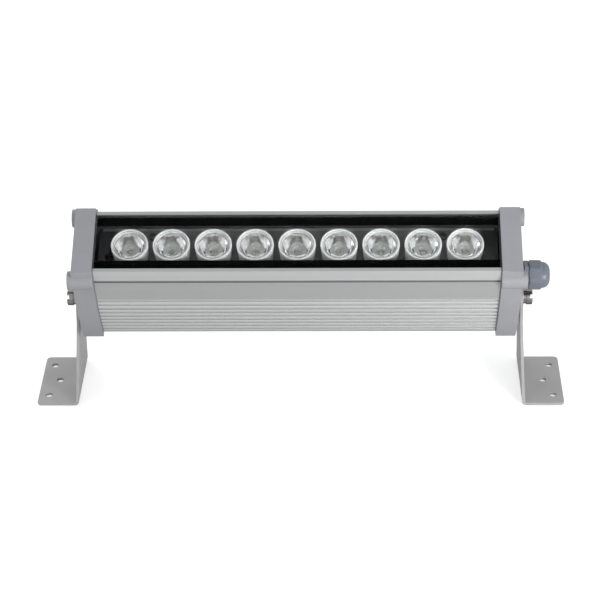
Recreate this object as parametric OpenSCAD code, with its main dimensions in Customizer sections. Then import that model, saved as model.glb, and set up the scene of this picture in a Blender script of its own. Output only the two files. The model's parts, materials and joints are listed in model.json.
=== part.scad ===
// Outdoor wall washer light: a tilting aluminium lamp body with a row of lensed
// light sources behind flat glass, held at both ends by bent sheet brackets.
//
// Row frame: +X runs along the lamp towards the cable gland, +Y points away from
// the front, +Z is up. The origin is at the middle of the bounding box's bottom face.
// Lamp frame, used by every piece that tilts: x as in the row, y across the glass,
// z along the glass's outward normal, with the tilt axis at y = 0, z = 0.

/* [Lamp body] */
// Length over both end caps
lamp_len = 300; // [240:5:900]
// Thickness of an end cap along the lamp
cap_t = 13.8; // [12:0.2:18]
// Height of the end caps' front face above the tilt axis
cap_front = 72.4; // [68:0.1:78]
// Depth of the end caps' back face below the tilt axis
cap_back = 10.5; // [9.5:0.1:14]
// Half width of an end cap at its front and back faces
cap_half_end = 26; // [25:0.1:27]
// Half width of an end cap at the middle of its height
cap_half_mid = 29.6; // [28:0.1:31]
// How far the aluminium body lies inside the caps' sides and front
body_inset = 1.6; // [1:0.1:2]
// How far the aluminium body's back lies above the caps' back
body_back_inset = 5; // [3:0.1:6]
// Wall thickness of the aluminium body at its ribbed sides
body_wall = 3.2; // [2.8:0.1:3.6]

/* [Pose and brackets] */
// Lean of the glass normal from upright towards the front, at rest
tilt_rest = 26; // [0:1:60]
// Height of the tilt axis above the mounting surface
pivot_h = 72; // [70:1:100]
// Thickness of the bracket sheet
sheet_t = 2; // [1.5:0.1:3]
// Size of a foot along the lamp, from the leg's inner face
foot_len = 29.6; // [27:0.1:40]
// Size of a foot across the lamp
foot_w = 58.6; // [54:0.2:70]
// Outward lean of a leg between its top pad and its bend
leg_lean = 3; // [2:0.1:6]
// Radius of the leg's rounded top around the tilt axis
leg_top_r = 12; // [11:0.5:13]
// Diameter of the three screw holes in a foot
foot_hole_d = 5; // [4:0.1:6]
// Distance between the outer pair of foot holes
foot_hole_span = 37.4; // [32:0.2:42]

/* [Glass and light sources] */
// Thickness of the front glass
glass_t = 4; // [3:0.5:5]
// Half width of the clear window between the black printed bands
window_half = 13.2; // [12.8:0.1:16]
// Distance between neighbouring lenses
lens_pitch = 28.15; // [26:0.05:40]
// Outer diameter of a lens holder at its front rim
holder_d = 25; // [22:0.1:25.2]
// Height of a lens holder
holder_h = 15.5; // [14:0.5:17]

/* [Cable gland] */
// Distance of the gland's axis from the tilt axis
gland_z = 27.7; // [26:0.1:34]
// Diameter of the gland's outer thread through the cap
gland_thread_d = 15.2; // [12:0.1:16]
// Diameter of the bore in the gland's rubber insert, the thickest cable it takes
cable_bore_d = 8; // [5:0.1:8]
// Width across the corners of the gland's dome nut
gland_nut_d = 20.3; // [19:0.1:21]

/* [Hidden] */

// Shared clearances and finish
cut = 1;               // overrun of a cut past the face that it opens
thread_gap = 0.05;     // radial gap of a part that turns on its thread
fit_gap = 0.2;         // gap around a piece that is set in a recess
arc_steps = 8;         // points on one rounded corner of an outline
side_steps = 22;       // points on one long curved side of an outline
$fn = 64;

// Derived places along the lamp
cap_out_x = lamp_len / 2;
cap_in_x = cap_out_x - cap_t;
gasket_t = 0.8;
body_half_len = cap_in_x - gasket_t;
body_front = cap_front - body_inset;
body_back = -cap_back + body_back_inset;

// The curved sides are arcs about one axis on each side
mid_z = (cap_front - cap_back) / 2;
half_z = (cap_front + cap_back) / 2;
side_sag = cap_half_mid - cap_half_end;
side_r = (side_sag * side_sag + half_z * half_z) / (2 * side_sag);
cap_corner_r = 0.8;
body_corner_r = 1.2;

// End cap details
cap_wall = 5;
cap_rim = 6.6;
cavity_corner_r = 4.5;
cap_draft = 0.6;
cap_land = 2;
ear_r = 6.2;
ear_in = 1;
ear_y = cap_half_end - ear_in;
ear_drop = 11.1;
ear_z = cap_front - ear_drop;
ear_proud = 3.2;
boss_h = 3.1;
pivot_boss_r = 11;
insert_boss_r = 7;
screw_boss_r = 4.6;

// Cap screws: two in the front ears, two near the back corners
front_screw_in = 2;
front_screw = [ear_y - front_screw_in, ear_z];
back_screw_in = 9.6;
back_screw_up = 5.1;
back_screw = [cap_half_mid - back_screw_in, body_back + back_screw_up];
screw_places = [front_screw, back_screw];
cap_screw_r = 2;
cap_screw_hole_r = 2.2;
cap_screw_core_r = 1.65;
cap_screw_head_r = 3.4;
cap_screw_head_h = 2.4;
cap_screw_sink = 0.4;
cap_screw_bite = 9;
cap_screw_socket_r = 1.45;
cap_screw_socket_h = 1.3;

// Aluminium body details
lip_w = 2.4;
lip_lean = 0.55;
lip_half = side_half(body_front) - lip_lean;
lip_in = lip_half - lip_w;
band_h = 8.7;
groove_h = 2.2;
groove_d = 0.8;
plain_h = 20;
rib_pitch = 4.8;
rib_gap = 2.4;
rib_d = 1.3;
rib_top = body_front - band_h - groove_h - plain_h;
rib_end_margin = 2.1;
rib_count = floor((rib_top - body_back - rib_end_margin) / rib_pitch);
back_rib_count = 2 * floor((side_half(body_back) - rib_end_margin - rib_gap / 2) / rib_pitch) + 1;
floor_t = 3.4;
web_t = 2.4;
ledge_t = 2.5;
ledge_half = 16.5;
channel_r = 3.3;

// Glass stack, counted down from the body's front
glass_drop = 1;
seal_t = 0.5;
print_t = 0.12;
lens_gap = 0.5;
glass_top = body_front - glass_drop;
glass_low = glass_top - glass_t;
glass_half = lip_in - seal_t;
ledge_top = glass_low - seal_t;
holder_top = glass_low - lens_gap;
board_top = holder_top - holder_h;
board_t = 1.6;
web_top = board_top - board_t;
board_half = 23;
board_end_gap = 2;

// Light sources and lenses
led_end_min = 22;
led_row = 2 * body_half_len - 2 * led_end_min;
led_count = 1 + floor(led_row / lens_pitch);
holder_foot_d = 23.2;
holder_wall = 1.1;
holder_floor_t = 1.2;
lens_sink = 0.5;
lens_flange_t = 1.6;
lens_foot_r = 4.6;
lens_pocket_r = 2.9;
lens_pocket_h = 3.6;
led_base = 3.4;
led_base_h = 0.7;
led_dome_r = 1.45;
board_screw_r = 1.5;
board_screw_head_r = 2.7;
board_screw_head_h = 1.8;
board_screw_y = 15.6;
board_screw_bite = 1.4;
board_screw_slot_w = 0.8;
board_screw_slot_h = 0.7;

// Driver, its pad, the terminal block and the inner leads
driver_len = 128;
driver_w = 29;
driver_h = 24;
driver_corner_r = 2;
driver_end_gap = 3;
pad_t = 1;
floor_top = body_back + floor_t;
driver_low = floor_top + pad_t;
driver_left = -body_half_len + driver_end_gap;
driver_right = driver_left + driver_len;
lead_r = 0.8;
lead_y = 1.4;
lead_in = 4.6;
lead_x = driver_left + lead_in;
lead_bend_y = 6;
lead_run = 9;
terminal_len = 20;
terminal_w = 17;
terminal_h = 17;
terminal_x = driver_right + lead_run;
terminal_port_r = 2;
terminal_port_y = 4;
terminal_port_h = 12;
terminal_screw_r = 1.9;
terminal_screw_h = 3;
terminal_screw_share = 0.7;  // place of its screws along the terminal block
grommet_r = 3.4;
grommet_flange_r = 4.8;
grommet_flange_t = 1;
grommet_bore_r = 2.6;

// Cable gland
gland_gasket_t = 1;
gland_boss_r = 10;
gland_base_t = 3;
gland_base_r = 9.9;
insert_wall = 1.6;
gland_body_bore_r = cable_bore_d / 2 + insert_wall;
gland_core_r = 7.2;
gland_core_len = 9;
gland_seat_x = cap_out_x + boss_h;
gland_base_x = seat_end(gland_gasket_t);
gland_nut_x = gland_base_x + gland_base_t + fit_gap;
gland_nut_hex_len = 8.9;
gland_nut_dome_len = 5.6;
gland_nut_dome_r = 8.95;
gland_nut_round = 5.1;
gland_nut_edge = 0.8;
gland_mouth_gap = 0.6;
gland_mouth_r = cable_bore_d / 2 + gland_mouth_gap;
gland_tail = 7.2;
locknut_t = 4.5;
locknut_r = 10.8;
gland_insert_len = 9.2;

// Pivot hardware
screw_r = 3;
screw_hole_r = 3.2;
insert_r = 4.6;
insert_len = 10;
screw_bite = 9;
washer_t = 1;
washer_r = 5.6;
spring_washer_t = 1.6;
spring_washer_r = 5.1;
spring_washer_slit = 1;
spring_washer_turn = 18;
head_r = 5.75;
head_h = 4.4;
head_slot_w = 2.4;
head_slot_h = 1.6;
head_slot_turn = -32;
head_edge = 0.5;

// Brackets
pad_x = cap_out_x + boss_h;
leg_foot_x = pad_x + leg_lean;
foot_out_x = leg_foot_x + foot_len;
bend_r = 1;
foot_corner_r = 3;
foot_hole_edge = 7.2;
foot_hole_step = 5.8;

// Place of the tilt axis in the row frame, so that the origin is the box's middle
ear_reach = ear_y * cos(tilt_rest) + ear_z * sin(tilt_rest) + ear_r;
pivot_y = (ear_reach - foot_w / 2) / 2;

// Outline helpers
function seat_end(t) = cap_out_x + boss_h + t;
function side_half(z, inset = body_inset) =
    cap_half_mid - side_r + sqrt(pow(side_r - inset, 2) - pow(z - mid_z, 2));
function arc(c, r, from, to, steps) =
    [for (i = [0:steps]) let (a = from + (to - from) * i / steps) c + r * [cos(a), sin(a)]];
function corner_x(z, inset, r) =
    cap_half_mid - side_r + sqrt(pow(side_r - inset - r, 2) - pow(z - mid_z, 2));
function with_mirror(side) =
    concat(side, [for (i = [len(side) - 1:-1:0]) [-side[i][0], side[i][1]]]);
function side_angle(z, x) = atan2(z - mid_z, x - cap_half_mid + side_r);

// Closed outline with curved sides, flat front and back and rounded corners
function lamp_outline(inset, front, back, r) =
    let (
        front_c = [corner_x(front - r, inset, r), front - r],
        back_c = [corner_x(back + r, inset, r), back + r],
        front_a = side_angle(front_c[1], front_c[0]),
        back_a = side_angle(back_c[1], back_c[0]),
        side_c = [cap_half_mid - side_r, mid_z],
        whole = concat(
            arc(front_c, r, 90, front_a, arc_steps),
            arc(side_c, side_r - inset, front_a, back_a, side_steps),
            arc(back_c, r, back_a, -90, arc_steps)
        )
    )
    with_mirror(whole);

// One groove cut into the body's side, between two heights
function side_groove(top, low, depth) = [
    [side_half(top), top], [side_half(top) - depth, top],
    [side_half(low) - depth, low], [side_half(low), low]
];
function flat(list) = [for (part = list) each part];

// Half of the body's section, from the lip down the ribbed side to the ribbed back
function body_side() = concat(
    [[lip_in, body_front], [lip_half, body_front]],
    side_groove(body_front - band_h, body_front - band_h - groove_h, groove_d),
    flat([for (i = [0:rib_count - 1])
        side_groove(rib_top - i * rib_pitch, rib_top - i * rib_pitch - rib_gap, rib_d)]),
    arc([corner_x(body_back + body_corner_r, body_inset, body_corner_r), body_back + body_corner_r],
        body_corner_r, 0, -90, arc_steps)
);

// Turn helpers
module in_lamp() {
    translate([0, pivot_y, pivot_h]) rotate([tilt_rest, 0, 0]) children();
}
module along_x(x, y = 0, z = 0) {
    translate([x, y, z]) rotate([0, 90, 0]) children();
}
module section_x(from, to) {
    translate([from, 0, 0]) rotate([90, 0, 90]) linear_extrude(to - from) children();
}
module both_ends() {
    children();
    mirror([1, 0, 0]) children();
}
module both_sides() {
    children();
    mirror([0, 1, 0]) children();
}
module at_cap_screws() {
    for (place = screw_places) both_sides() translate([0, place[0], place[1]]) children();
}
module at_leds() {
    for (i = [0:led_count - 1])
        translate([(i - (led_count - 1) / 2) * lens_pitch, 0, board_top]) children();
}

// End cap for the +X end; the other end is its mirror image
module end_cap(with_gland) {
    difference() {
        union() {
            intersection() {
                section_x(cap_in_x, cap_out_x)
                    polygon(lamp_outline(0, cap_front, -cap_back, cap_corner_r));
                cap_draft_prism();
            }
            both_sides() along_x(cap_in_x, ear_y, ear_z) cylinder(h = cap_t + ear_proud, r = ear_r);
            along_x(cap_out_x) cylinder(h = boss_h, r = pivot_boss_r);
            if (with_gland)
                along_x(cap_out_x, 0, gland_z) cylinder(h = boss_h, r = gland_boss_r);
        }
        section_x(cap_in_x - cut, cap_out_x - cap_wall) difference() {
            polygon(cavity_outline());
            circle(insert_boss_r);
            for (place = screw_places, side = [-1, 1])
                translate([side * place[0], place[1]]) circle(screw_boss_r);
        }
        along_x(cap_out_x + boss_h - insert_len) cylinder(h = insert_len + cut, r = insert_r);
        along_x(cap_in_x - cut) cylinder(h = cap_t, r = screw_hole_r);
        at_cap_screws() {
            along_x(cap_in_x - cut) cylinder(h = cap_t + ear_proud + 2 * cut, r = cap_screw_hole_r);
        }
        both_sides() for (place = screw_places) along_x(screw_head_x(place), place[0], place[1])
            cylinder(h = cap_t, r = cap_screw_head_r + fit_gap);
        if (with_gland)
            along_x(cap_in_x, 0, gland_z) cylinder(h = cap_t + boss_h + cut, r = gland_thread_d / 2 + thread_gap);
    }
}

// The front and back of a cap close in towards its outer end, past a straight land
module cap_draft_prism() {
    slope = cap_draft / (cap_t - cap_land);
    over_in = (cap_land + cut) * slope;
    over_out = cap_draft + cut * slope;
    translate([0, cap_half_mid + cut, 0]) rotate([90, 0, 0]) linear_extrude(2 * (cap_half_mid + cut)) polygon([
        [cap_in_x - cut, cap_front + over_in], [cap_out_x + cut, cap_front - over_out],
        [cap_out_x + cut, over_out - cap_back], [cap_in_x - cut, -cap_back - over_in]
    ]);
}
function cavity_outline() = lamp_outline(cap_rim, cap_front - cap_rim, body_back + floor_t, cavity_corner_r);

// Underside of a cap screw's head: sunk into an ear, or into the flat of the cap
function screw_head_x(place) =
    (place == front_screw ? cap_out_x + ear_proud : cap_out_x) - cap_screw_head_h - cap_screw_sink;

module end_cap_left() color([0.60, 0.60, 0.62]) in_lamp() mirror([1, 0, 0]) end_cap(false);
module end_cap_right() color([0.60, 0.60, 0.62]) in_lamp() end_cap(true);

// Extruded body
module body_section() {
    difference() {
        polygon(with_mirror(body_side()));
        // Recess for the glass between the lips
        translate([-lip_in, ledge_top]) square([2 * lip_in, body_front - ledge_top + cut]);
        // Opening between the glass ledges
        translate([-ledge_half, ledge_top - ledge_t - cut]) square([2 * ledge_half, ledge_t + 2 * cut]);
        difference() {
            union() {
                // Lens chamber above the web and driver chamber below it
                polygon(chamber(ledge_top - ledge_t, web_top));
                polygon(chamber(web_top - web_t, floor_top));
            }
            for (place = screw_places, side = [-1, 1])
                translate([side * place[0], place[1]]) circle(channel_r);
        }
        for (place = screw_places, side = [-1, 1])
            translate([side * place[0], place[1]]) circle(cap_screw_core_r);
        // Shallow grooves across the back
        for (i = [0:back_rib_count - 1])
            translate([(i - (back_rib_count - 1) / 2) * rib_pitch - rib_gap / 2, body_back - cut])
                square([rib_gap, rib_d + cut]);
    }
}
function chamber(top, low) = with_mirror([for (i = [0:arc_steps])
    let (z = top + (low - top) * i / arc_steps) [side_half(z) - body_wall, z]]);

module housing() {
    color([0.72, 0.73, 0.72]) in_lamp() difference() {
        section_x(-body_half_len, body_half_len) body_section();
        at_board_screws() translate([0, 0, -board_t - web_t - cut])
            cylinder(h = web_t + 2 * cut, r = board_screw_r + thread_gap);
        translate([lead_x, 0, web_top - web_t - cut])
            cylinder(h = web_t + 2 * cut, r = grommet_r + thread_gap);
    }
}

// Gaskets between the body's ends and the caps
module cap_gasket() {
    section_x(body_half_len, cap_in_x) difference() {
        polygon(lamp_outline(body_inset + fit_gap, body_front - fit_gap, body_back + fit_gap, body_corner_r));
        difference() {
            polygon(cavity_outline());
            for (place = screw_places, side = [-1, 1])
                translate([side * place[0], place[1]]) circle(screw_boss_r);
        }
        for (place = screw_places, side = [-1, 1])
            translate([side * place[0], place[1]]) circle(cap_screw_hole_r);
    }
}
module cap_gasket_left() color([0.42, 0.42, 0.43]) in_lamp() mirror([1, 0, 0]) cap_gasket();
module cap_gasket_right() color([0.42, 0.42, 0.43]) in_lamp() cap_gasket();

// Front glass, its printed black bands and the seal that it lies in
module glass_pane() {
    color([0.80, 0.88, 0.86, 0.35]) in_lamp()
        translate([-body_half_len, -glass_half, glass_low])
            cube([2 * body_half_len, 2 * glass_half, glass_t]);
}
module glass_print() {
    color([0.02, 0.02, 0.02]) in_lamp() both_sides()
        translate([-body_half_len, window_half, glass_low - print_t])
            cube([2 * body_half_len, glass_half - window_half, print_t]);
}
module glass_seal() {
    color([0.06, 0.06, 0.06]) in_lamp() both_sides() section_x(-body_half_len, body_half_len)
        polygon([
            [ledge_half, ledge_top], [lip_in, ledge_top], [lip_in, glass_top],
            [glass_half, glass_top], [glass_half, glass_low - print_t], [ledge_half, glass_low - print_t]
        ]);
}

// Light source board and what stands on it
module at_board_screws() {
    for (side = [-1, 1], end = [-1, 1])
        translate([end * board_screw_x(), side * board_screw_y, board_top]) children();
}
function board_screw_x() = (led_count / 2 - 1) * lens_pitch;

module led_board() {
    color([0.09, 0.09, 0.10]) in_lamp() difference() {
        translate([-body_half_len + board_end_gap, -board_half, web_top])
            cube([2 * (body_half_len - board_end_gap), 2 * board_half, board_t]);
        at_board_screws() translate([0, 0, -board_t - cut])
            cylinder(h = board_t + 2 * cut, r = board_screw_r + fit_gap);
        translate([lead_x, 0, web_top - cut]) cylinder(h = board_t + 2 * cut, r = grommet_r + thread_gap);
    }
}
module led_packages() {
    color([0.93, 0.84, 0.45]) in_lamp() at_leds() {
        translate([-led_base / 2, -led_base / 2, 0]) cube([led_base, led_base, led_base_h]);
        translate([0, 0, led_base_h]) intersection() {
            sphere(r = led_dome_r);
            translate([-led_base / 2, -led_base / 2, -led_base_h / 2]) cube([led_base, led_base, led_base]);
        }
    }
}

// Lens: a solid of turning that widens from its foot to its flanged front
module led_lenses() {
    front_r = holder_d / 2 - holder_wall - fit_gap;
    color([0.86, 0.90, 0.92, 0.5]) in_lamp() at_leds() rotate_extrude() polygon(concat(
        [[0, holder_h - lens_sink], [front_r, holder_h - lens_sink]],
        lens_curve(front_r, fit_gap),
        [[lens_pocket_r, holder_floor_t + fit_gap], [lens_pocket_r, lens_pocket_h], [0, lens_pocket_h]]
    ));
}
function lens_curve(front_r, lift) = concat(
    [[front_r, holder_h - lens_sink - lens_flange_t]],
    [for (i = [0:arc_steps])
        let (s = 1 - i / arc_steps, top = holder_h - lens_sink - lens_flange_t - lift)
        [lens_foot_r + (front_r - lens_flange_t - lens_foot_r) * sqrt(s),
            holder_floor_t + lift + (top - holder_floor_t - lift) * s]]
);

// Holder: a white tapered cup with a rim around the lens
module lens_holders() {
    rim_r = holder_d / 2;
    foot_r = holder_foot_d / 2;
    seat_z = holder_h - lens_sink - lens_flange_t - fit_gap;
    color([0.90, 0.90, 0.89]) in_lamp() at_leds() rotate_extrude() polygon([
        [lens_pocket_r, 0], [foot_r, 0], [rim_r, holder_h - lens_flange_t], [rim_r, holder_h],
        [rim_r - holder_wall, holder_h], [rim_r - holder_wall, seat_z],
        [rim_r - holder_wall - lens_flange_t / 2, seat_z],
        [foot_r - holder_wall, holder_floor_t], [lens_pocket_r, holder_floor_t]
    ]);
}
module board_screws() {
    color([0.75, 0.75, 0.76]) in_lamp() at_board_screws() difference() {
        union() {
            cylinder(h = board_screw_head_h, r = board_screw_head_r);
            translate([0, 0, -board_t - board_screw_bite])
                cylinder(h = board_t + board_screw_bite + board_screw_head_h / 2, r = board_screw_r);
        }
        translate([-board_screw_head_r - cut, -board_screw_slot_w / 2, board_screw_head_h - board_screw_slot_h])
            cube([2 * (board_screw_head_r + cut), board_screw_slot_w, board_screw_slot_h + cut]);
    }
}

// Driver on its heat pad, wired to the board and to the terminal block
module rounded_box(len, w, h, r) {
    translate([0, -w / 2, 0]) rotate([90, 0, 90]) linear_extrude(len) polygon(concat(
        arc([w - r, h - r], r, 0, 90, arc_steps), arc([r, h - r], r, 90, 180, arc_steps),
        arc([r, r], r, 180, 270, arc_steps), arc([w - r, r], r, 270, 360, arc_steps)
    ));
}
module driver_module() {
    color([0.16, 0.17, 0.19]) in_lamp() translate([driver_left, 0, driver_low])
        rounded_box(driver_len, driver_w, driver_h, driver_corner_r);
}
module driver_pad() {
    color([0.45, 0.55, 0.70]) in_lamp() translate([driver_left, -driver_w / 2 + driver_corner_r, floor_top])
        cube([driver_len, driver_w - 2 * driver_corner_r, pad_t]);
}
module driver_leads() {
    color([0.55, 0.12, 0.10]) in_lamp() for (side = [-1, 1])
        along_x(driver_right, side * terminal_port_y, floor_top + terminal_port_h)
            cylinder(h = lead_run, r = lead_r);
}
module terminal_block() {
    color([0.85, 0.84, 0.78]) in_lamp() difference() {
        translate([terminal_x, 0, floor_top]) rounded_box(terminal_len, terminal_w, terminal_h, lead_r);
        for (side = [-1, 1]) {
            along_x(terminal_x + terminal_len / 2, side * terminal_port_y, floor_top + terminal_port_h)
                cylinder(h = terminal_len, r = terminal_port_r);
            translate([terminal_x + terminal_len * terminal_screw_share, side * terminal_port_y,
                floor_top + terminal_h - terminal_screw_h])
                cylinder(h = terminal_screw_h + cut, r = terminal_screw_r);
        }
    }
}
module led_leads() {
    tip = board_top + lead_r;
    root = driver_low + driver_h;
    color([0.07, 0.07, 0.08]) in_lamp() both_sides() translate([lead_x, lead_y, 0]) {
        translate([0, 0, root]) cylinder(h = tip - root, r = lead_r);
        translate([0, 0, tip]) sphere(r = lead_r);
        translate([0, 0, tip]) rotate([-90, 0, 0]) cylinder(h = lead_bend_y, r = lead_r);
    }
}
module wire_grommet() {
    color([0.12, 0.12, 0.12]) in_lamp() translate([lead_x, 0, web_top - web_t]) difference() {
        union() {
            cylinder(h = web_t + board_t - fit_gap, r = grommet_r);
            translate([0, 0, -grommet_flange_t]) cylinder(h = grommet_flange_t, r = grommet_flange_r);
        }
        translate([0, 0, -grommet_flange_t - cut])
            cylinder(h = web_t + board_t + grommet_flange_t + 2 * cut, r = grommet_bore_r);
    }
}

// Cable gland on the +X cap
module at_gland(x) along_x(x, 0, gland_z) children();
module gland_gasket() {
    color([0.05, 0.05, 0.05]) in_lamp() at_gland(gland_seat_x) difference() {
        cylinder(h = gland_gasket_t, r = gland_base_r - 2 * fit_gap);
        translate([0, 0, -cut]) cylinder(h = gland_gasket_t + 2 * cut, r = gland_thread_d / 2);
    }
}
module gland_body() {
    tail_x = cap_out_x - cap_wall - gland_tail;
    color([0.50, 0.53, 0.57]) in_lamp() difference() {
        union() {
            at_gland(gland_base_x) cylinder(h = gland_base_t, r = gland_base_r, $fn = 6);
            at_gland(tail_x) cylinder(h = gland_base_x - tail_x, r = gland_thread_d / 2);
            at_gland(gland_base_x) cylinder(h = gland_base_t + gland_core_len, r = gland_core_r);
        }
        at_gland(tail_x - cut) cylinder(h = gland_base_x - tail_x + 2 * cut, r = gland_mouth_r);
        at_gland(gland_base_x) cylinder(h = gland_base_t + gland_core_len + cut, r = gland_body_bore_r);
    }
}
module gland_insert() {
    color([0.10, 0.10, 0.10]) in_lamp() difference() {
        at_gland(gland_base_x) cylinder(h = gland_insert_len, r = gland_body_bore_r);
        at_gland(gland_base_x - cut) cylinder(h = gland_insert_len + 2 * cut, r = cable_bore_d / 2);
    }
}

// Dome nut: hexagon with rounded corners, then a smaller dome with the cable's mouth
module gland_nut() {
    hex_end = gland_nut_hex_len;
    nut_end = gland_nut_hex_len + gland_nut_dome_len;
    inner_end = gland_base_x + gland_base_t + gland_core_len + fit_gap - gland_nut_x;
    color([0.50, 0.53, 0.57]) in_lamp() at_gland(gland_nut_x) difference() {
        union() {
            intersection() {
                cylinder(h = hex_end, r = gland_nut_d / 2 + gland_nut_edge, $fn = 6);
                rotate_extrude() polygon([
                    [0, 0], [gland_nut_d / 2 - gland_nut_edge, 0], [gland_nut_d / 2, gland_nut_edge],
                    [gland_nut_d / 2, hex_end - gland_nut_edge],
                    [gland_nut_d / 2 - gland_nut_edge, hex_end], [0, hex_end]
                ]);
            }
            rotate_extrude() polygon(concat(
                [[0, nut_end], [0, hex_end - gland_nut_edge], [gland_nut_dome_r, hex_end - gland_nut_edge]],
                arc([gland_nut_dome_r - gland_nut_round, nut_end - gland_nut_round], gland_nut_round,
                    0, 90, arc_steps)
            ));
        }
        translate([0, 0, -cut]) cylinder(h = inner_end + cut, r = gland_core_r + thread_gap);
        translate([0, 0, -cut]) cylinder(h = nut_end + 2 * cut, r = gland_mouth_r);
    }
}
module gland_locknut() {
    color([0.50, 0.53, 0.57]) in_lamp() at_gland(cap_out_x - cap_wall - locknut_t) difference() {
        cylinder(h = locknut_t, r = locknut_r, $fn = 6);
        translate([0, 0, -cut]) cylinder(h = locknut_t + 2 * cut, r = gland_thread_d / 2);
    }
}

// Fasteners
module cap_screw(place) {
    head_x = screw_head_x(place);
    along_x(0, place[0], place[1]) difference() {
        union() {
            translate([0, 0, head_x]) cylinder(h = cap_screw_head_h, r = cap_screw_head_r);
            translate([0, 0, cap_in_x]) cylinder(h = head_x - cap_in_x, r = cap_screw_r);
            translate([0, 0, cap_in_x - cap_screw_bite])
                cylinder(h = cap_screw_bite, r = cap_screw_core_r - thread_gap);
        }
        translate([0, 0, head_x + cap_screw_head_h - cap_screw_socket_h])
            cylinder(h = cap_screw_socket_h + cut, r = cap_screw_socket_r, $fn = 6);
    }
}
module cap_screws() {
    color([0.70, 0.70, 0.71]) in_lamp() both_ends() both_sides()
        for (place = screw_places) cap_screw(place);
}
module pivot_insert() {
    along_x(cap_out_x + boss_h - insert_len) difference() {
        cylinder(h = insert_len, r = insert_r);
        translate([0, 0, -cut]) cylinder(h = insert_len + 2 * cut, r = screw_r + thread_gap);
    }
}
module pivot_insert_left() color([0.62, 0.62, 0.64]) in_lamp() mirror([1, 0, 0]) pivot_insert();
module pivot_insert_right() color([0.62, 0.62, 0.64]) in_lamp() pivot_insert();

// Slotted clamping screw; its slot is turned from level in the row frame
module pivot_screw() {
    head_x = pad_x + sheet_t + washer_t + spring_washer_t;
    translate([0, pivot_y, pivot_h]) difference() {
        union() {
            along_x(head_x) rotate_extrude() polygon([
                [0, 0], [head_r, 0], [head_r, head_h - head_edge], [head_r - head_edge, head_h], [0, head_h]
            ]);
            along_x(pad_x - screw_bite) cylinder(h = head_x - pad_x + screw_bite + head_edge, r = screw_r);
        }
        rotate([head_slot_turn, 0, 0]) translate([head_x + head_h - head_slot_h, -head_r - cut, -head_slot_w / 2])
            cube([head_slot_h + cut, 2 * (head_r + cut), head_slot_w]);
    }
}
module pivot_screw_left() color([0.75, 0.75, 0.77]) mirror([1, 0, 0]) pivot_screw();
module pivot_screw_right() color([0.75, 0.75, 0.77]) pivot_screw();

module washer(x, t, r) {
    translate([0, pivot_y, pivot_h]) along_x(x) difference() {
        cylinder(h = t, r = r);
        translate([0, 0, -cut]) cylinder(h = t + 2 * cut, r = screw_hole_r);
    }
}
module flat_washers() {
    color([0.72, 0.72, 0.74]) both_ends() washer(pad_x + sheet_t, washer_t, washer_r);
}
module spring_washers() {
    color([0.66, 0.66, 0.68]) both_ends() difference() {
        washer(pad_x + sheet_t + washer_t, spring_washer_t, spring_washer_r);
        translate([pad_x + sheet_t, pivot_y, pivot_h]) rotate([spring_washer_turn, 0, 0])
            translate([0, -spring_washer_slit / 2, 0])
                cube([washer_t + spring_washer_t + cut, spring_washer_slit, spring_washer_r + cut]);
    }
}

// Bracket for the +X end: the side view, the end view and the plan meet in one solid
module bracket() {
    fold = bend_r + sheet_t;
    fold_c = [leg_foot_x + fold, fold];
    pad_low = pivot_h - leg_top_r;
    pad_high = pivot_h + leg_top_r;
    taper_a = leg_taper(fold);
    difference() {
        intersection() {
            translate([0, pivot_y + foot_w / 2, 0]) rotate([90, 0, 0]) linear_extrude(foot_w)
                polygon(concat(
                    [[foot_out_x, sheet_t], [foot_out_x, 0]],
                    arc(fold_c, fold, 270, 180, arc_steps),
                    [[pad_x, pad_low], [pad_x, pad_high], [pad_x + sheet_t, pad_high], [pad_x + sheet_t, pad_low]],
                    arc(fold_c, bend_r, 180, 270, arc_steps)
                ));
            translate([0, pivot_y, 0]) section_x(0, foot_out_x + cut) polygon(with_mirror(concat(
                [[0, pivot_h + leg_top_r]],
                arc([0, pivot_h], leg_top_r, 90 - 90 / arc_steps, -taper_a, arc_steps),
                [[foot_w / 2, fold], [foot_w / 2, 0]]
            )));
            translate([0, pivot_y, -cut]) linear_extrude(pad_high + 2 * cut)
                polygon(concat(
                    [[0, -foot_w / 2]],
                    arc([foot_out_x - foot_corner_r, foot_corner_r - foot_w / 2], foot_corner_r, -90, 0, arc_steps),
                    arc([foot_out_x - foot_corner_r, foot_w / 2 - foot_corner_r], foot_corner_r, 0, 90, arc_steps),
                    [[0, foot_w / 2]]
                ));
        }
        translate([0, pivot_y, pivot_h]) along_x(pad_x - cut) cylinder(h = sheet_t + 2 * cut, r = screw_hole_r);
        for (place = foot_hole_places())
            translate([place[0], pivot_y + place[1], -cut])
                cylinder(h = sheet_t + 2 * cut, r = foot_hole_d / 2);
    }
}
function foot_hole_places() = let (outer = foot_out_x - foot_hole_edge) [
    [outer, -foot_hole_span / 2], [outer, foot_hole_span / 2], [outer - foot_hole_step, 0]
];

// Angle from level to where the leg's straight edge leaves its rounded top, less than 0 above level
function leg_taper(low) =
    let (drop = pivot_h - low, half = foot_w / 2)
    asin(leg_top_r / norm([drop, half])) - atan2(half, drop);

module bracket_left() color([0.58, 0.58, 0.60]) mirror([1, 0, 0]) bracket();
module bracket_right() color([0.58, 0.58, 0.60]) bracket();

bracket_left();
bracket_right();
housing();
end_cap_left();
end_cap_right();
cap_gasket_left();
cap_gasket_right();
glass_pane();
glass_print();
glass_seal();
led_board();
led_packages();
led_lenses();
lens_holders();
board_screws();
driver_module();
driver_pad();
driver_leads();
terminal_block();
led_leads();
wire_grommet();
gland_gasket();
gland_body();
gland_insert();
gland_nut();
gland_locknut();
cap_screws();
pivot_insert_left();
pivot_insert_right();
pivot_screw_left();
pivot_screw_right();
flat_washers();
spring_washers();
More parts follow.
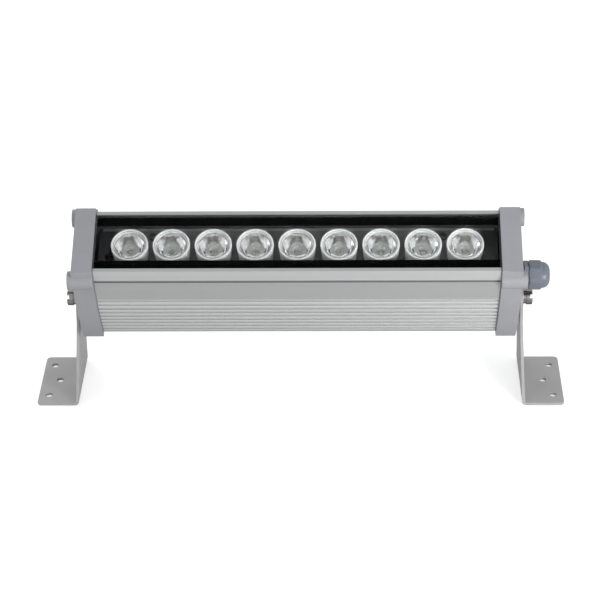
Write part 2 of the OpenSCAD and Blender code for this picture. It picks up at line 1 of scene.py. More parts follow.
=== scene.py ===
"""Looks of the outdoor wall washer light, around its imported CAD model.

Row frame: +X along the lamp towards the cable gland, +Y away from its front, +Z up.
Lamp frame, for what tilts: x as in the row, y across the glass, z out of the glass, from the middle
of the tilt axis. Vectors are in metres, and the sizes written here in mm unless they say otherwise.
"""

import json
import math

import bmesh
import bpy
from mathutils import Matrix, Vector


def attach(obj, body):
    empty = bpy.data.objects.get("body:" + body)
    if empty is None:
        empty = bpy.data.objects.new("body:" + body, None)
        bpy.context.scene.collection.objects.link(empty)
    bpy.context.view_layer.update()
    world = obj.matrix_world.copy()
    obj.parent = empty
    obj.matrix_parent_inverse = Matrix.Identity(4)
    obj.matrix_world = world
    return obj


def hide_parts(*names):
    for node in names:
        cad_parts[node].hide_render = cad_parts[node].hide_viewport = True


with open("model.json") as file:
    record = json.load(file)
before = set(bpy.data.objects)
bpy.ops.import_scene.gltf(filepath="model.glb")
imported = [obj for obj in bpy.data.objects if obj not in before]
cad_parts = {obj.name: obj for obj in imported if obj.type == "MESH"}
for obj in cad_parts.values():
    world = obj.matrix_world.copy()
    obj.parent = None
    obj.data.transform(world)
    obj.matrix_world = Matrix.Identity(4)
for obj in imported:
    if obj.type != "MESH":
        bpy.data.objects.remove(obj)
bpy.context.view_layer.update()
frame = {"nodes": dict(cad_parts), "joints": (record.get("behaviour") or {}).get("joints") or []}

# The lamp frame
MM = 0.001
TILT_REST = 26.0    # degrees
TILT_JOINT = next(joint for joint in frame["joints"] if joint["name"] == "lamp_tilt")
PIVOT = Vector(TILT_JOINT["pos_m"])
LAMP = Matrix.Translation(PIVOT) @ Matrix.Rotation(math.radians(TILT_REST), 4, "X")
TO_LAMP = LAMP.inverted()
ACROSS = LAMP.to_3x3() @ Vector((0, 1, 0))
OUTWARD = LAMP.to_3x3() @ Vector((0, 0, 1))


def lamp_place(x, y, z):
    """The lamp frame itself, moved by x, y and z mm."""
    return LAMP @ Matrix.Translation(Vector((x, y, z)) * MM)


def lamp_box(node):
    """Lowest and highest corner of a CAD node in the lamp frame, in mm."""
    points = [TO_LAMP @ v.co / MM for v in frame["nodes"][node].data.vertices]
    return [Vector([pick(p[axis] for p in points) for axis in range(3)]) for pick in (min, max)]


# Lenses and gland nut in the lamp frame, placed as the CAD nodes are
LENS_COUNT = 9
HOLDER_R = 12.5
LENS_PITCH = 2 * (lamp_box("lens_holders")[1].x - HOLDER_R) / (LENS_COUNT - 1)
BOARD_TOP = lamp_box("led_board")[1].z
NUT_LOW, NUT_HIGH = lamp_box("gland_nut")
LED_PLACES = [lamp_place((i - (LENS_COUNT - 1) / 2) * LENS_PITCH, 0, BOARD_TOP) for i in range(LENS_COUNT)]

# The body's long sides, by height in the lamp frame, and what lies between them
SIDE_Y = 22.9               # the outer sides lie further out than this
LIP_Y = 21.6                # the gap between the lips ends here
CAP_OUT_X = 150.0
BAND_TOP = 70.5             # top of the band painted lighter, as painted light
SEAM_TOP, SEAM_FOOT = 62.1, 59.9
RIBS_TOP, RIBS_FOOT = 41.2, -2.0
VALLEY_TOP, VALLEY_FOOT = 39.9, 37.5    # the topmost of the valleys between ribs
VALLEY_COUNT, VALLEY_PITCH = 9, 4.8
INSIDE_TOP, INSIDE_FOOT = 65.0, 40.0

# How CAD meshes are cleaned and rounded
MERGE_GAP = 0.002           # a CAD mesh's corners closer than this are one
SAME_POINT = 0.001          # the same for meshes made here
FLAT_ANGLE = 0.4            # degrees: faces that meet flatter than this are one
KEEN_ANGLE = 35.0           # degrees: keener edges are rounded
SHARP_ANGLE = 30.0          # degrees: keener edges are shaded sharp
WIDE_ROUND = 0.5            # wider roundings take one face more
RIB_ROUND = 0.55


# Node helpers
def add(tree, kind, **settings):
    made = tree.nodes.new("ShaderNode" + kind)
    for key, value in settings.items():
        setattr(made, key, value)
    return made


def put(made, **values):
    """Sets input sockets by name, with _ for a space."""
    for key, value in values.items():
        made.inputs[key.replace("_", " ")].default_value = value
    return made


def reckon(tree, operation, *terms):
    """The value of a Math node over sockets and numbers."""
    made = add(tree, "Math", operation=operation)
    for socket, term in zip(made.inputs, terms):
        if isinstance(term, bpy.types.NodeSocket):
            tree.links.new(term, socket)
        else:
            socket.default_value = term
    return made.outputs["Value"]


def ranged(tree, source, near, far, low, high):
    """Goes from low to high as the source goes from near to far, and no further."""
    span = put(add(tree, "MapRange"), From_Min=near, From_Max=far, To_Min=low, To_Max=high)
    tree.links.new(source, span.inputs["Value"])
    return span.outputs["Result"]


def graded(tree, source, near, near_colour, far, far_colour):
    """A colour that goes from one to the other as the source goes from near to far."""
    ramp = add(tree, "ValToRGB")
    for stop, place, colour in zip(ramp.color_ramp.elements, (near, far), (near_colour, far_colour)):
        stop.position = place
        stop.color = (*colour, 1)
    tree.links.new(source, ramp.inputs["Fac"])
    return ramp.outputs["Color"]


def along(tree, vector, axis):
    """How far a vector reaches along an axis."""
    dot = add(tree, "VectorMath", operation="DOT_PRODUCT")
    dot.inputs[1].default_value = axis
    tree.links.new(vector, dot.inputs[0])
    return dot.outputs["Value"]


def mixed(tree, share, one, two):
    """The first shader where the share is 0, the second where it is 1."""
    mix = add(tree, "MixShader")
    tree.links.new(share, mix.inputs["Fac"])
    tree.links.new(one, mix.inputs[1])
    tree.links.new(two, mix.inputs[2])
    return mix.outputs["Shader"]


# Material helpers
def shade(colour, share):
    return tuple(c * share for c in colour)


def material(name, colour, roughness, metallic=0.0, **extra):
    mat = bpy.data.materials.new(name)
    mat.use_nodes = True
    shader = mat.node_tree.nodes["Principled BSDF"]
    put(shader, Base_Color=(*colour, 1), Roughness=roughness, Metallic=metallic, **extra)
    mat.diffuse_color = (*colour, 1)
    return mat


def feed(mat, source, name):
    """Links a socket to an input of the material's shader."""
    mat.node_tree.links.new(source, mat.node_tree.nodes["Principled BSDF"].inputs[name])


def grain(mat, scale, stretch=(1, 1, 1), detail=3.0):
    """Noise over the object's own coordinates; scale is in cells per metre."""
    tree = mat.node_tree
    where = add(tree, "TexCoord")
    place = put(add(tree, "Mapping"), Scale=stretch)
    noise = put(add(tree, "TexNoise"), Scale=scale, Detail=detail, Roughness=0.55)
    tree.links.new(where.outputs["Object"], place.inputs["Vector"])
    tree.links.new(place.outputs["Vector"], noise.inputs["Vector"])
    return noise.outputs["Fac"]


def tint(mat, source, low, high):
    """Base colour from low to high over the middle of the grain's range."""
    feed(mat, graded(mat.node_tree, source, 0.35, low, 0.65, high), "Base Color")


def gloss(mat, source, low, high):
    """Roughness from low to high over the middle of the grain's range."""
    feed(mat, ranged(mat.node_tree, source, 0.3, 0.7, low, high), "Roughness")


def relief(mat, source, strength, depth):
    """Bumps of the grain, depth in mm."""
    bump = put(add(mat.node_tree, "Bump"), Strength=strength, Distance=depth * MM)
    mat.node_tree.links.new(source, bump.inputs["Height"])
    feed(mat, bump.outputs["Normal"], "Normal")


def scale_colour(mat, share):
    """Multiplies the base colour, which has a link already, by a socket's value."""
    tree = mat.node_tree
    colour = tree.nodes["Principled BSDF"].inputs["Base Color"]
    scaled = add(tree, "VectorMath", operation="SCALE")
    tree.links.new(colour.links[0].from_socket, scaled.inputs[0])
    tree.links.new(share, scaled.inputs["Scale"])
    tree.links.new(scaled.outputs["Vector"], colour)


def grained(name, colour, roughness, scale, dent, spread=0.05, **extra):
    """A moulded, painted or metal surface that varies a little; scale in cells per metre, dent in mm."""
    cloud_scale, gloss_scale = scale * 0.02, scale * 0.35
    mat = material(name, colour, roughness, **extra)
    tint(mat, grain(mat, cloud_scale), shade(colour, 1 - spread), shade(colour, 1 + spread))
    gloss(mat, grain(mat, gloss_scale), roughness * 0.9, roughness * 1.12)
    relief(mat, grain(mat, scale), 0.25, dent)
    return mat


# Paint, metal, rubber and plastic
PAINTED_CAST = grained("painted_cast_grey", (0.335, 0.335, 0.355), 0.42, 1100, 0.03)
POWDER = grained("powder_coat_grey", (0.40, 0.392, 0.39), 0.5, 1900, 0.03)
STEEL = grained("turned_steel", (0.36, 0.34, 0.335), 0.24, 2600, 0.008, metallic=1.0)
GLAND = grained("gland_nylon", (0.162, 0.181, 0.215), 0.34, 1300, 0.02)
DARK_STEEL = grained("blackened_steel", (0.2, 0.2, 0.205), 0.5, 2600, 0.008, metallic=0.3)
RUBBER = grained("black_silicone", (0.012, 0.012, 0.013), 0.6, 1400, 0.03)
SEAL = grained("seal_silicone", (0.045, 0.045, 0.046), 0.5, 1400, 0.02)
HOLDER = grained("holder_white", (0.72, 0.725, 0.72), 0.38, 1200, 0.01, spread=0.02,
                 Subsurface_Weight=0.7, Subsurface_Radius=(1, 1, 1), Subsurface_Scale=0.005)
CERAMIC = grained("led_base", (0.56, 0.56, 0.535), 0.45, 2400, 0.01)
PHOSPHOR = grained("led_phosphor", (0.55, 0.525, 0.41), 0.5, 5200, 0.02)
RESIN_BLACK = grained("driver_black", (0.02, 0.021, 0.023), 0.45, 700, 0.04)
HEAT_PAD = grained("heat_pad_blue", (0.16, 0.24, 0.4), 0.7, 1500, 0.03)
WIRE_RED = grained("wire_red", (0.42, 0.02, 0.015), 0.4, 1500, 0.01)
WIRE_BLACK = grained("wire_black", (0.02, 0.02, 0.022), 0.4, 1500, 0.01)
CREAM = grained("terminal_cream", (0.6, 0.57, 0.46), 0.45, 1000, 0.02)
# Painted shade for the inner walls seen through the glass
INSIDE_PAINTED_SHADE = grained("cap_inside_painted_shade", (0.12, 0.12, 0.122), 0.7, 900, 0.02)


def anodised(name, share=1.0):
    """Extruded aluminium: fine lines along the lamp in its colour, gloss and relief; share scales the
    colour for the lighter and darker copies that paint light and shade.
    """
    colour = shade((0.60, 0.605, 0.60), share)
    lines = (0.003, 1, 1)
    mat = material(name, colour, 0.4, metallic=0.6)
    tint(mat, grain(mat, 1500, lines), shade(colour, 0.97), shade(colour, 1.03))
    gloss(mat, grain(mat, 2600, lines), 0.36, 0.44)
    relief(mat, grain(mat, 3200, lines), 0.05, 0.006)
    return mat


def gasket_rubber():
    """Grey silicone with painted shade in front between the body's lips, where it closes the window's ends.
    """
    dark_from, dark_at = 63.0, 67.5
    mat = grained("gasket_silicone_painted_shade", (0.34, 0.34, 0.345), 0.55, 1400, 0.03)
    tree = mat.node_tree
    from_pivot = add(tree, "VectorMath", operation="SUBTRACT")
    from_pivot.inputs[1].default_value = PIVOT
    tree.links.new(add(tree, "TexCoord").outputs["Object"], from_pivot.inputs[0])
    aside = reckon(tree, "ABSOLUTE", along(tree, from_pivot.outputs["Vector"], ACROSS))
    between_lips = reckon(tree, "LESS_THAN", aside, LIP_Y * MM)
    out = along(tree, from_pivot.outputs["Vector"], OUTWARD)
    in_front = ranged(tree, out, dark_from * MM, dark_at * MM, 0, 1)
    # Painted shade on the gasket's front face between the lips
    scale_colour(mat, ranged(tree, reckon(tree, "MULTIPLY", between_lips, in_front), 0, 1, 0.8, 0.1))
    return mat


def board_mask():
    """Black solder mask with painted light and shade: paler towards the far side, darker past the last
    lenses, and a painted light strip along the far edge.
    """
    last_lens, board_end = 0.118, 0.126             # metres along the row frame's x, either way
    lens_front, lens_back = -0.006, 0.008           # metres along its y
    far_light_start, far_light_full = 0.0098, 0.0104            # the same
    mat = grained("board_black", (0.17, 0.17, 0.171), 0.5, 2200, 0.006, Specular_IOR_Level=0.9)
    tree = mat.node_tree
    split = add(tree, "SeparateXYZ")
    tree.links.new(add(tree, "TexCoord").outputs["Object"], split.inputs["Vector"])
    x, y = split.outputs["X"], split.outputs["Y"]
    # Painted shade past the last lenses, painted light towards the far side and along the far edge
    past_lenses = ranged(tree, reckon(tree, "ABSOLUTE", x), last_lens, board_end, 1.0, 0.24)
    behind = ranged(tree, y, lens_front, lens_back, 0.85, 2.3)
    far_edge_light = ranged(tree, y, far_light_start, far_light_full, 0.0, 1.7)
    scale_colour(mat, reckon(tree, "MULTIPLY_ADD", past_lenses, behind, far_edge_light))
    return mat


def enamel():
    """Black print that wets the back of the glass, so that it has no gloss of its own."""
    mat = material("black_enamel", (0.0025, 0.0025, 0.0025), 0.5, Specular_IOR_Level=0.0)
    tint(mat, grain(mat, 300), (0.0021, 0.0021, 0.0021), (0.003, 0.003, 0.003))
    gloss(mat, grain(mat, 600), 0.45, 0.55)
    return mat


def let_lamps_through(mat, colour):
    """Clear stuff bends what is seen through it, and still lets the lamps light what it covers."""
    tree = mat.node_tree
    clear = put(add(tree, "BsdfTransparent"), Color=(*colour, 1))
    surface = mixed(tree, add(tree, "LightPath").outputs["Is Shadow Ray"],
                    tree.nodes["Principled BSDF"].outputs["BSDF"], clear.outputs["BSDF"])
    tree.links.new(surface, tree.nodes["Material Output"].inputs["Surface"])
    return mat


def polished_glass():
    mat = material("front_glass", (0.97, 0.985, 0.978), 0.0, Transmission_Weight=1.0, IOR=1.5)
    return let_lamps_through(mat, (0.985, 0.99, 0.988))


def acrylic(name, colour, roughness, clear_share):
    """Lens acrylic; clear_share of the light passes, and the rest is scattered as by a frosted face."""
    mat = material(name, colour, roughness, Transmission_Weight=clear_share, IOR=1.49)
    relief(mat, grain(mat, 260, detail=1.0), 0.25, 0.04)
    return let_lamps_through(mat, shade(colour, 0.97))


ALUMINIUM = anodised("anodised_aluminium")
# Lighter and darker copies of the aluminium: painted light on the upper band and rib tops, painted shade on
# the lower band, the valleys and the seam
BAND_PAINTED_LIGHT = anodised("anodised_painted_light_band", 1.1)
BAND_PAINTED_SHADE = anodised("anodised_painted_shade_band", 0.9)
RIB_TOP_PAINTED_LIGHT = anodised("anodised_rib_top_painted_light", 1.23)
RIB_VALLEY_PAINTED_SHADE = anodised("anodised_rib_valley_painted_shade", 0.93)
SEAM_PAINTED_SHADE = anodised("anodised_seam_painted_shade", 0.55)
ENAMEL = enamel()
BOARD = board_mask()
GASKET = gasket_rubber()
GLASS = polished_glass()
ACRYLIC = acrylic("lens_acrylic", (0.98, 0.985, 0.98), 0.03, 1.0)
FROSTED = acrylic("lens_frosted", (0.97, 0.98, 0.985), 0.09, 0.95)
POCKET = acrylic("lens_pocket", (0.97, 0.965, 0.93), 0.08, 0.95)


# Mesh helpers
def finish_piece(bm, name, mats, body, replaces):
    """Makes an object of a mesh in the row frame, smooth but for its sharp edges."""
    for face in bm.faces:
        face.smooth = True
    for edge in bm.edges:
        edge.smooth = edge.is_manifold and edge.calc_face_angle(0) < math.radians(SHARP_ANGLE)
    mesh = bpy.data.meshes.new(name)
    bm.to_mesh(mesh)
    bm.free()
    for mat in mats:
        mesh.materials.append(mat)
    piece = bpy.data.objects.new(name, mesh)
    bpy.context.scene.collection.objects.link(piece)
    normals = piece.modifiers.new("weighted", "WEIGHTED_NORMAL")
    normals.keep_sharp = True
    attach(piece, body)
    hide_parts(*replaces)
    return piece


def softened(node, name, mat, body, width, reshape=None, wider=None):
    """A copy of a CAD node's solid, with its keen edges rounded by width in mm.

    reshape(bm) changes the copy first, and wider(edge) gives an edge a width of its own.
    """
    bm = bmesh.new()
    bm.from_mesh(frame["nodes"][node].data)
    bmesh.ops.remove_doubles(bm, verts=bm.verts, dist=MERGE_GAP * MM)
    bmesh.ops.dissolve_limit(bm, angle_limit=math.radians(FLAT_ANGLE), verts=bm.verts, edges=bm.edges)
    if reshape:
        reshape(bm)
    groups = {}
    for edge in bm.edges:
        if edge.is_manifold and edge.calc_face_angle(0) > math.radians(KEEN_ANGLE):
            groups.setdefault(wider(edge) if wider else width, []).append(edge)
    for size in sorted(groups, reverse=True):
        if size:
            bmesh.ops.bevel(bm, geom=[e for e in groups[size] if e.is_valid], offset=size * MM,
                            offset_type="OFFSET", segments=3 if size > WIDE_ROUND else 2, profile=0.5,
                            affect="EDGES", clamp_overlap=True)
    return finish_piece(bm, name, [mat], body, (node,))


def turned(bm, profile, place, steps, reach=None):
    """Turns a profile of (radius, height) points in mm about a place's z axis.

    reach(angle, height) gives the share of the radius that the surface has there.
    """
    rings = []
    for radius, height in profile:
        if radius == 0:
            rings.append([bm.verts.new(place @ Vector((0, 0, height * MM)))])
            continue
        ring = []
        for k in range(steps):
            angle = 2 * math.pi * k / steps
            r = radius * reach(angle, height) if reach else radius
            corner = Vector((r * math.cos(angle) * MM, r * math.sin(angle) * MM, height * MM))
            ring.append(bm.verts.new(place @ corner))
        rings.append(ring)
    for one, two in zip(rings, rings[1:]):
        for k in range(steps):
            corners = [one[k % len(one)], one[(k + 1) % len(one)],
                       two[(k + 1) % len(two)], two[k % len(two)]]
            unique = list(dict.fromkeys(corners))
            if len(unique) > 2:
                bm.faces.new(unique)


def close_up(bm):
    """Joins turned strips to one skin that faces outward."""
    bmesh.ops.remove_doubles(bm, verts=bm.verts, dist=SAME_POINT * MM)
    bmesh.ops.recalc_face_normals(bm, faces=bm.faces)


def rounded(points, radius, steps=3):
    """Rounds the inner corners of an open profile."""
    longest = 0.45      # share of a side that a rounding may take
    out = [points[0]]
    for before, here, after in zip(points, points[1:], points[2:]):
        a, b, c = Vector(before), Vector(here), Vector(after)
        reach = min(radius, (a - b).length * longest, (c - b).length * longest)
        start, end = b + (a - b).normalized() * reach, b + (c - b).normalized() * reach
        for k in range(steps + 1):
            t = k / steps
            out.append(tuple(start * (1 - t) ** 2 + b * 2 * t * (1 - t) + end * t * t))
    return out + [points[-1]]


def arc(centre, radius, angles):
    """Points of a round stretch, at angles in degrees."""
    turns = [math.radians(a) for a in angles]
    return [(centre[0] + radius * math.cos(t), centre[1] + radius * math.sin(t)) for t in turns]


def repaint(piece, mat, chosen):
    """Gives another material to the faces that chosen(middle, in the lamp frame) picks."""
    mats = piece.data.materials
    if mat.name not in mats:
        mats.append(mat)
    for face in piece.data.polygons:
        if chosen(TO_LAMP @ face.center):
            face.material_index = mats.find(mat.name)


# Body and caps
def rib_width(edge):
    """The ribs' long edges are round, and the body's other edges stay keen."""
    ribs_y, ribs_top, long_edge = 22.5, 40.2, 5.0
    one, two = (TO_LAMP @ v.co for v in edge.verts)
    on_ribs = all(abs(p.y) > ribs_y * MM and RIBS_FOOT * MM < p.z < ribs_top * MM for p in (one, two))
    return RIB_ROUND if on_ribs and abs(one.x - two.x) > long_edge * MM else 0


def split_band(bm):
    """Cuts the plain band's lowest strip off, as its edge takes the same painted highlight as the ribs."""
    everything = list(bm.verts) + list(bm.edges) + list(bm.faces)
    bmesh.ops.bisect_plane(bm, geom=everything, dist=SAME_POINT * MM,
                           plane_co=LAMP @ Vector((0, 0, RIBS_TOP * MM)), plane_no=OUTWARD)


def paint_sides(body):
    """The outer sides, in painted light and shade: a band painted lighter, one painted darker, painted
    shade in the seam between them, and ribs painted lighter over valleys painted darker.
    """
    bands = [(SEAM_TOP, BAND_TOP, BAND_PAINTED_LIGHT), (RIBS_TOP, SEAM_FOOT, BAND_PAINTED_SHADE),
             (SEAM_FOOT, SEAM_TOP, SEAM_PAINTED_SHADE), (RIBS_FOOT, RIBS_TOP, RIB_TOP_PAINTED_LIGHT)]
    for i in range(VALLEY_COUNT):
        down = VALLEY_PITCH * i
        bands.append((VALLEY_FOOT - down, VALLEY_TOP - down, RIB_VALLEY_PAINTED_SHADE))
    for low, high, mat in bands:
        repaint(body, mat, lambda at: abs(at.y) > SIDE_Y * MM and low * MM < at.z < high * MM)


def paint_inside_shade(piece, reach_x, reach_y):
    """The inner walls, which are seen through the glass, get painted shade."""
    repaint(piece, INSIDE_PAINTED_SHADE, lambda at: abs(at.x) < reach_x * MM and abs(at.y) < reach_y * MM
            and INSIDE_FOOT * MM < at.z < INSIDE_TOP * MM)


housing = softened("housing", "housing_extrusion", ALUMINIUM, "lamp", 0,
                   reshape=split_band, wider=rib_width)
paint_sides(housing)
paint_inside_shade(housing, CAP_OUT_X, SIDE_Y)
for side in ("left", "right"):
    cap = softened(f"end_cap_{side}", f"end_cap_{side}_cast", PAINTED_CAST, "lamp", 0.7)
    paint_inside_shade(cap, CAP_OUT_X - 1, LIP_Y)
for side in ("left", "right"):
    softened(f"bracket_{side}", f"bracket_{side}_sheet", POWDER, "brackets", 0.3)


# Front glass
def clear_of_print(bm):
    """Lifts the pane's back a hair off the print, so that the two faces don't lie in one plane."""
    back, lift = 0.2, 0.05
    low = min((TO_LAMP @ v.co).z for v in bm.verts)
    for v in bm.verts:
        if (TO_LAMP @ v.co).z < low + back * MM:
            v.co += OUTWARD * lift * MM


def widen_window(bm):
    """The far printed band ends further from the lenses than the CAD model's, as the photo shows."""
    edge_from, edge_to, widening = 12.0, 15.0, 1.2
    for v in bm.verts:
        if edge_from * MM < (TO_LAMP @ v.co).y < edge_to * MM:
            v.co += ACROSS * widening * MM


softened("glass_pane", "glass_pane_polished", GLASS, "lamp", 0.3, reshape=clear_of_print)
softened("glass_print", "glass_print_bands", ENAMEL, "lamp", 0, reshape=widen_window)

# Screws, washers and the gland's body
softened("cap_screws", "cap_screws_turned", STEEL, "lamp", 0.25)
softened("board_screws", "board_screws_turned", DARK_STEEL, "lamp", 0.15)
for side in ("left", "right"):
    screw = f"pivot_screw_{side}"
    softened(screw, f"{screw}_turned", STEEL, f"clamp_screw_{side}", 0.3)
softened("flat_washers", "flat_washers_pressed", STEEL, "brackets", 0.15)
softened("spring_washers", "spring_washers_split", STEEL, "brackets", 0.2)
softened("gland_body", "gland_body_moulded", GLAND, "lamp", 0.3)


# Lenses, holders and light sources, as outlines of (radius, height over the board)
def make_lenses():
    """Clear collimators: a polished front, a frosted bowed side, and a pocket over the light source."""
    front_z, flange_z, bowl_z, foot_z = 15.0, 13.4, 13.0, 1.5
    flange_r, neck_r, bowl_r, waist_r, foot_r = 11.2, 9.9, 9.7, 4.6, 4.2
    bevel, bowl_steps = 0.3, 10
    front = [(0, front_z), (5, front_z), (flange_r - bevel, front_z), (flange_r, front_z - bevel),
             (flange_r, flange_z + bevel)]
    side = [(11.0, flange_z), (neck_r, flange_z)]
    for k in range(bowl_steps, 0, -1):
        share = k / bowl_steps
        side.append((waist_r + (bowl_r - waist_r) * math.sqrt(share), foot_z + (bowl_z - foot_z) * share))
    side.append((foot_r, foot_z))
    pocket = [(3.3, foot_z), (3.1, 4.1), (2.6, 4.9), (1.5, 5.4), (0, 5.55)]
    bm = bmesh.new()
    for place in LED_PLACES:
        for part, profile in enumerate((front, front[-1:] + side, side[-1:] + pocket)):
            first = len(bm.faces)
            turned(bm, profile, place, 64)
            bm.faces.ensure_lookup_table()
            for face in bm.faces[first:]:
                face.material_index = part
    close_up(bm)
    finish_piece(bm, "led_lenses_clear", [ACRYLIC, FROSTED, POCKET], "lamp", ("led_lenses",))


def make_holders():
    """White tapered cups with a rounded rim, a step for the lens and a floor."""
    outline = rounded([(2.9, 0), (11.6, 0), (HOLDER_R, 13.9), (HOLDER_R, 15.5), (11.4, 15.5), (11.4, 13.2),
                       (10.6, 13.2), (10.4, 1.2), (2.9, 1.2)], 0.35)
    bm = bmesh.new()
    for place in LED_PLACES:
        turned(bm, outline + outline[:1], place, 72)
    close_up(bm)
    finish_piece(bm, "lens_holders_moulded", [HOLDER], "lamp", ("lens_holders",))


def make_light_sources():
    """Ceramic base with rounded edges, and a phosphor dome on it."""
    base_side, base_height, base_round = 3.4, 0.7, 0.12
    dome_r = 1.45
    dome = arc((0, base_height), dome_r, range(0, 90, 10)) + [(0, base_height + dome_r)]
    block = Matrix.Diagonal((base_side * MM, base_side * MM, base_height * MM, 1))
    bases, domes = bmesh.new(), bmesh.new()
    for place in LED_PLACES:
        cube = bmesh.ops.create_cube(bases, size=1)
        middle = place @ Matrix.Translation((0, 0, base_height / 2 * MM))
        bmesh.ops.transform(bases, matrix=middle @ block, verts=cube["verts"])
        turned(domes, dome, place, 32)
    bmesh.ops.bevel(bases, geom=list(bases.edges), offset=base_round * MM, segments=2, affect="EDGES")
    bmesh.ops.recalc_face_normals(domes, faces=domes.faces)
    finish_piece(bases, "led_bases", [CERAMIC], "lamp", ("led_packages",))
    finish_piece(domes, "led_domes", [PHOSPHOR], "lamp", ("led_packages",))


make_lenses()
make_holders()
make_light_sources()


# Gland nut
def make_gland_nut():
    """Hexagonal nut with rounded corners and a chamfer, and a dome with the cable's mouth."""
    flat_r, corner_r = 9.5, (NUT_HIGH.z - NUT_LOW.z) / 2
    chamfer_r, shoulder_r, bore_r, mouth_r = 9.3, 9.0, 7.3, 4.6
    hexagon_top, end_margin, blend_height = 9.0, 0.05, 0.9
    dome_middle, dome_round = (3.85, 9.4), 5.1
    seat = lamp_place(NUT_LOW.x, 0, (NUT_LOW.z + NUT_HIGH.z) / 2)
    seat @= Matrix.Rotation(math.radians(90), 4, "Y")

    def hexagon(angle, height):
        to_top = hexagon_top - end_margin - height
        if height < end_margin or to_top < 0:
            return 1
        turn = (angle + math.pi / 6) % (math.pi / 3) - math.pi / 6
        flat = flat_r / math.cos(math.pi / 6 - abs(turn))
        blend = min(1, to_top / blend_height)
        return min(flat, corner_r) / corner_r * blend + (1 - blend)

    profile = [(bore_r, 0), (chamfer_r, 0), (corner_r, 0.8), (corner_r, 4), (corner_r, 8.0),
               (chamfer_r, 8.9), (shoulder_r, hexagon_top)]
    profile += arc(dome_middle, dome_round, [0, *range(8, 75, 6)])
    profile += [(4.8, 14.42), (mouth_r, 14.2), (mouth_r, hexagon_top), (bore_r, hexagon_top), (bore_r, 0)]
    bm = bmesh.new()
    turned(bm, profile, seat, 96, hexagon)
    close_up(bm)
    finish_piece(bm, "gland_nut_moulded", [GLAND], "dome_nut", ("gland_nut",))


make_gland_nut()

# Materials of the CAD nodes that stay as they are
KEPT = {
    "cap_gasket_left": GASKET, "cap_gasket_right": GASKET, "glass_seal": SEAL,
    "led_board": BOARD, "driver_module": RESIN_BLACK, "driver_pad": HEAT_PAD, "driver_leads": WIRE_RED,
    "terminal_block": CREAM, "led_leads": WIRE_BLACK, "wire_grommet": RUBBER, "gland_gasket": RUBBER,
    "gland_insert": RUBBER, "gland_locknut": GLAND, "pivot_insert_left": STEEL, "pivot_insert_right": STEEL,
}
for node, mat in KEPT.items():
    for place in frame["nodes"][node].material_slots:
        place.material = mat


# Floor, world, lamps and camera
def floor_paint():
    """White to the camera but for the object's shadow, and a plain pale grey to all other light."""
    camera_glow = 0.5
    mat = bpy.data.materials.new("floor_white")
    mat.use_nodes = True
    tree = mat.node_tree
    tree.nodes.remove(tree.nodes["Principled BSDF"])
    to_camera = add(tree, "LightPath").outputs["Is Camera Ray"]
    pale = put(add(tree, "BsdfDiffuse"), Color=(0.8, 0.8, 0.8, 1))
    dim = put(add(tree, "BsdfDiffuse"), Color=(0.62, 0.62, 0.62, 1))
    glow = put(add(tree, "Emission"), Color=(1, 1, 1, 1))
    tree.links.new(reckon(tree, "MULTIPLY", to_camera, camera_glow), glow.inputs["Strength"])
    both = add(tree, "AddShader")
    tree.links.new(mixed(tree, to_camera, dim.outputs["BSDF"], pale.outputs["BSDF"]), both.inputs[0])
    tree.links.new(glow.outputs["Emission"], both.inputs[1])
    tree.links.new(both.outputs["Shader"], tree.nodes["Material Output"].inputs["Surface"])
    return mat


def make_floor():
    half, drop = 4.0, 0.0003            # metres
    mesh = bpy.data.meshes.new("floor")
    corners = [(x * half, y * half, -drop) for x, y in ((-1, -1), (1, -1), (1, 1), (-1, 1))]
    mesh.from_pydata(corners, [], [(0, 1, 2, 3)])
    mesh.materials.append(floor_paint())
    floor = bpy.data.objects.new("floor", mesh)
    bpy.context.scene.collection.objects.link(floor)


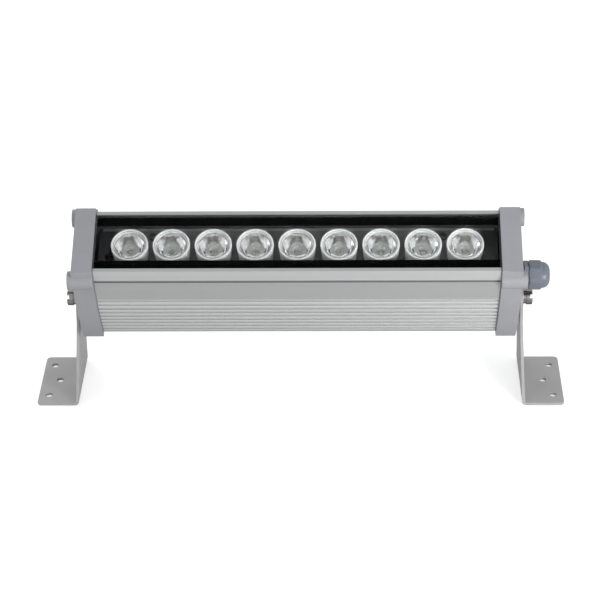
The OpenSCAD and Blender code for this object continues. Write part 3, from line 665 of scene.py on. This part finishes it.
def make_world():
    """A pale studio, dark straight overhead, which is what the front glass mirrors.

    Light that comes out of a lens, after five or more bounces, finds a pale room all round.
    """
    room_colour, overhead_colour = (0.95, 0.96, 0.98), (0.02, 0.02, 0.021)
    overhead, dark_from, dark_at = (0, 0.105, 0.9945), 0.95, 0.98   # a direction, and cosines to it
    room_strength, lens_bounces = 0.78, 4.5
    world = bpy.data.worlds.new("studio")
    bpy.context.scene.world = world
    world.use_nodes = True
    tree = world.node_tree
    to_overhead = along(tree, add(tree, "TexCoord").outputs["Generated"], overhead)
    room = put(tree.nodes["Background"], Strength=room_strength)
    tree.links.new(graded(tree, to_overhead, dark_from, room_colour, dark_at, overhead_colour),
                   room.inputs["Color"])
    pale = put(add(tree, "Background"), Color=(*room_colour, 1), Strength=1)
    white = put(add(tree, "Background"), Color=(1, 1, 1, 1), Strength=1)
    path = add(tree, "LightPath")
    deep = reckon(tree, "GREATER_THAN", path.outputs["Ray Depth"], lens_bounces)
    from_lens = reckon(tree, "MULTIPLY", deep, path.outputs["Is Transmission Ray"])
    lit = mixed(tree, from_lens, room.outputs["Background"], pale.outputs["Background"])
    seen = mixed(tree, path.outputs["Is Camera Ray"], lit, white.outputs["Background"])
    tree.links.new(seen, tree.nodes["World Output"].inputs["Surface"])


def make_lamp(name, place, size, power):
    """A round lamp that faces the object; place and size in metres, power in watts."""
    target = Vector((0, 0, 0.08))
    data = bpy.data.lights.new(name, "AREA")
    data.shape = "DISK"
    data.size = size
    data.energy = power
    lamp = bpy.data.objects.new(name, data)
    bpy.context.scene.collection.objects.link(lamp)
    lamp.location = place
    lamp.rotation_mode = "QUATERNION"
    lamp.rotation_quaternion = (target - Vector(place)).to_track_quat("-Z", "Y")


def make_camera():
    """The photograph's view: angles in degrees, lengths in metres, fitted to its points."""
    elevation, yaw, roll = (math.radians(a) for a in (32.19, -1.69, -1.02))
    distance, aim = 1.4192, PIVOT + Vector((0.00044, 0, -0.0027))
    focal_px, photo_px = 2031.0, 600
    sensor = 36.0       # mm, as Blender counts it
    flat = Vector((math.sin(yaw), math.cos(yaw), 0))
    ahead = flat * math.cos(elevation) - Vector((0, 0, math.sin(elevation)))
    level = Vector((math.cos(yaw), -math.sin(yaw), 0))
    upright = level.cross(ahead)
    right = level * math.cos(roll) + upright * math.sin(roll)
    up = upright * math.cos(roll) - level * math.sin(roll)
    data = bpy.data.cameras.new("camera")
    data.sensor_width = sensor
    data.lens = sensor * focal_px / photo_px
    data.clip_start = 0.05
    data.clip_end = 20
    camera = bpy.data.objects.new("camera", data)
    bpy.context.scene.collection.objects.link(camera)
    turn = Matrix((right, up, -ahead)).transposed().to_4x4()
    camera.matrix_world = Matrix.Translation(aim - ahead * distance) @ turn
    bpy.context.scene.camera = camera


make_floor()
make_world()
make_lamp("key_right", (0.48, -0.58, 0.2), 0.25, 3.1)
make_lamp("spark_left", (-0.5, -0.56, 0.18), 0.1, 0.24)
make_lamp("fill_left", (-2.0, -0.75, 0.12), 1.2, 4.2)
make_lamp("back_left", (-0.45, 0.45, 0.35), 0.35, 0.7)
make_camera()
bpy.context.scene.view_settings.view_transform = "Standard"
